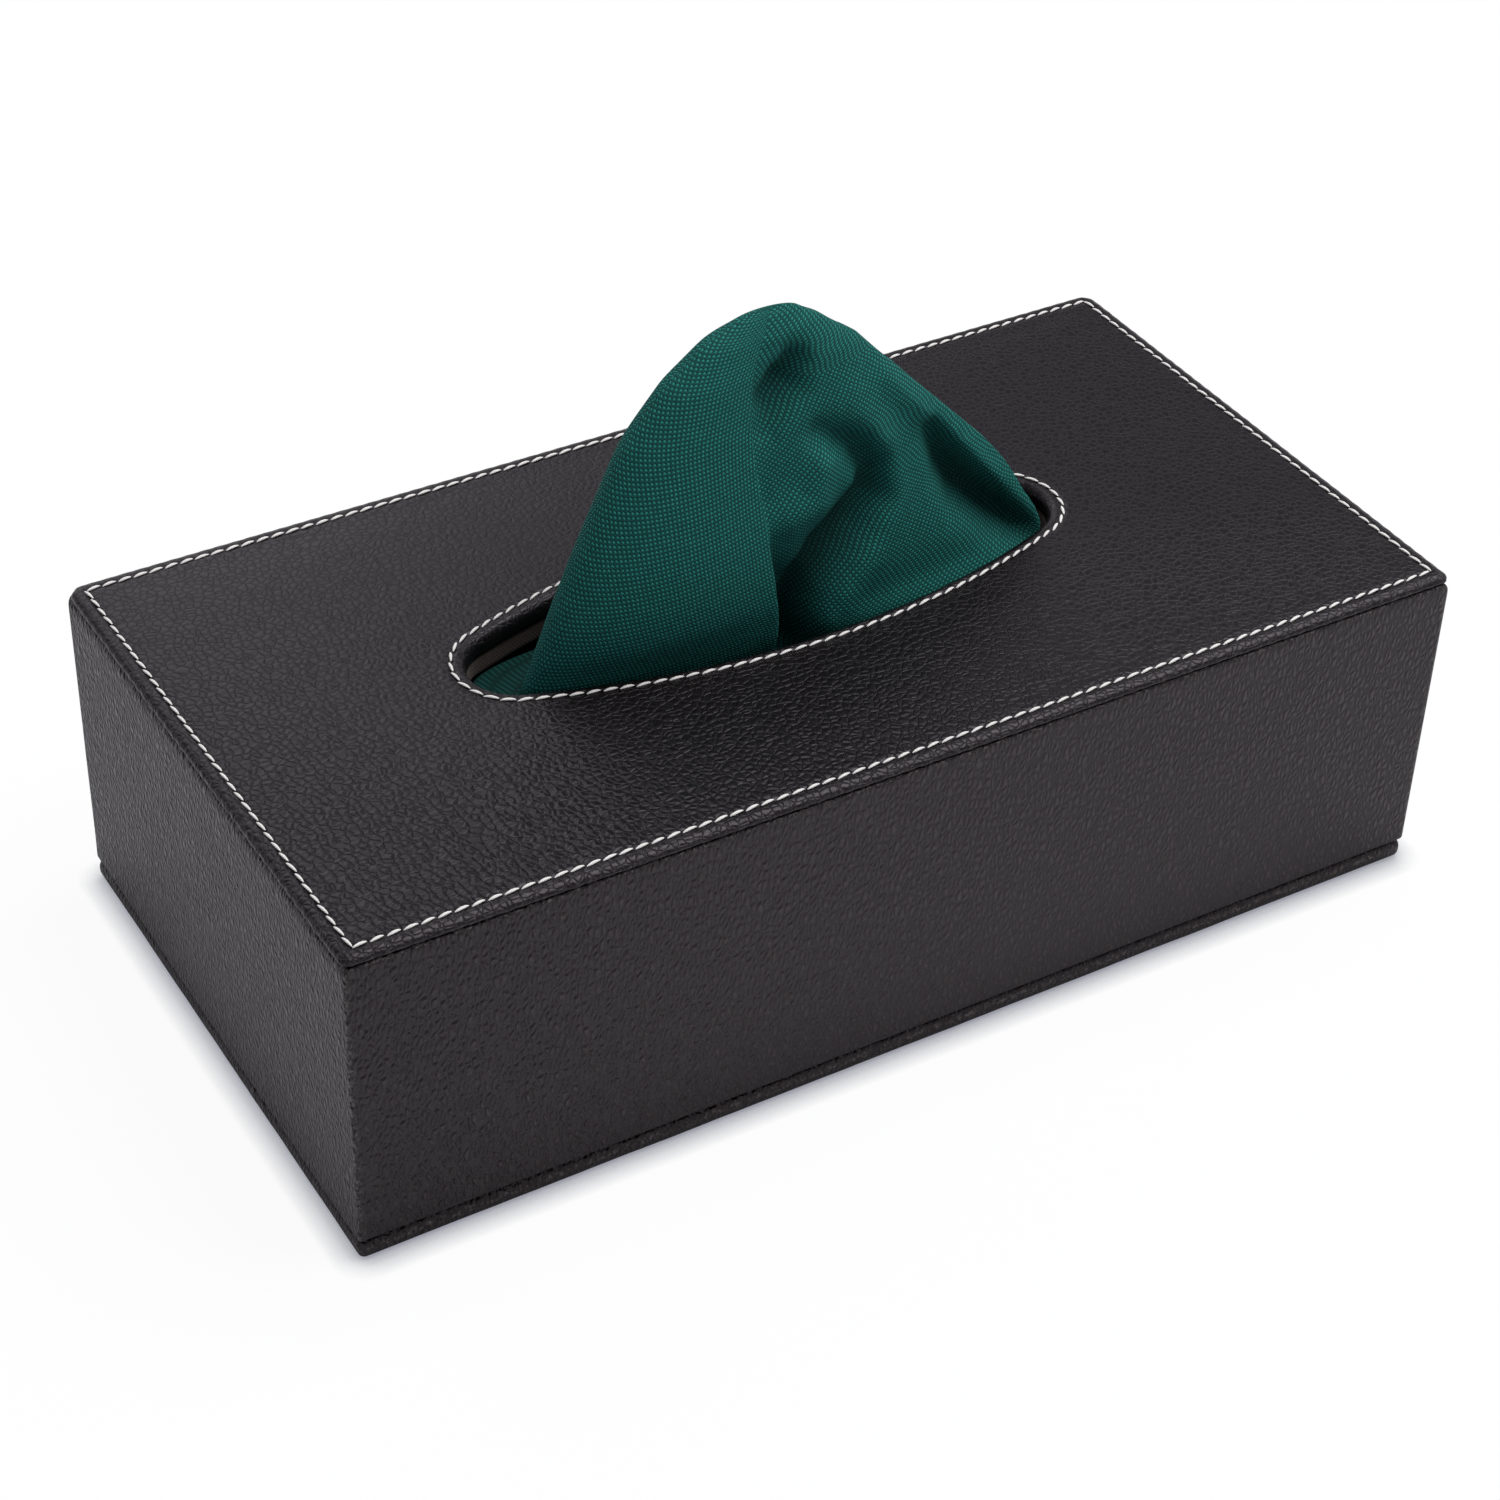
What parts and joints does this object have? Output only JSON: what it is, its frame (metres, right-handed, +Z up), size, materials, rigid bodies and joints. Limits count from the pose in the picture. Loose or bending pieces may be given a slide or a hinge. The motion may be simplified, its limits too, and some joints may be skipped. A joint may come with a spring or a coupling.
{
  "type": "tissue box cover",
  "caption": "Long leather-wrapped tissue box cover with a padded, stitched top, an oval slot with a cloth in it, and a base plate on a leather hinge.",
  "frame": {"origin": "centre of the base plate's underside, on the table", "axes": "+X along the long side, front long wall towards -Y, +Z up through the slot"},
  "size_m": [0.25, 0.13, 0.1387],
  "materials": {
    "top_leather": "satin",
    "side_leather": "satin",
    "thread": "matte",
    "binding": "matte",
    "lining": "matte",
    "foam": "matte",
    "board": "matte",
    "steel": "satin",
    "cloth": "matte"
  },
  "bodies": {
    "base": {"base_leather": "side_leather", "base_board": "board", "base_lining": "lining", "base_strike_plates": "steel"},
    "cover": {"top_leather": "top_leather", "top_foam_pad": "foam", "top_board": "board", "top_lining": "lining", "slot_binding": "binding", "perimeter_stitching": "thread", "slot_stitching": "thread", "front_wall_board": "board", "rear_wall_board": "board", "left_wall_board": "board", "right_wall_board": "board", "side_leather_wrap": "side_leather", "front_lining": "lining", "rear_lining": "lining", "left_lining": "lining", "right_lining": "lining", "wall_magnets": "steel", "hinge_strip": "side_leather"},
    "cloth": {"green_cloth": "cloth"}
  },
  "joints": [
    {"name": "base_hinge", "type": "hinge", "parent": "base", "child": "cover", "pos_m": [0, 0.065, 0.00495], "axis": [-1, 0, 0], "range_deg": [0, 94], "deforming": ["hinge_strip"]},
    {"name": "cloth_pull", "type": "slide", "parent": "cover", "child": "cloth", "axis": [0, 0, 1], "range_m": [0, 0.05]}
  ]
}
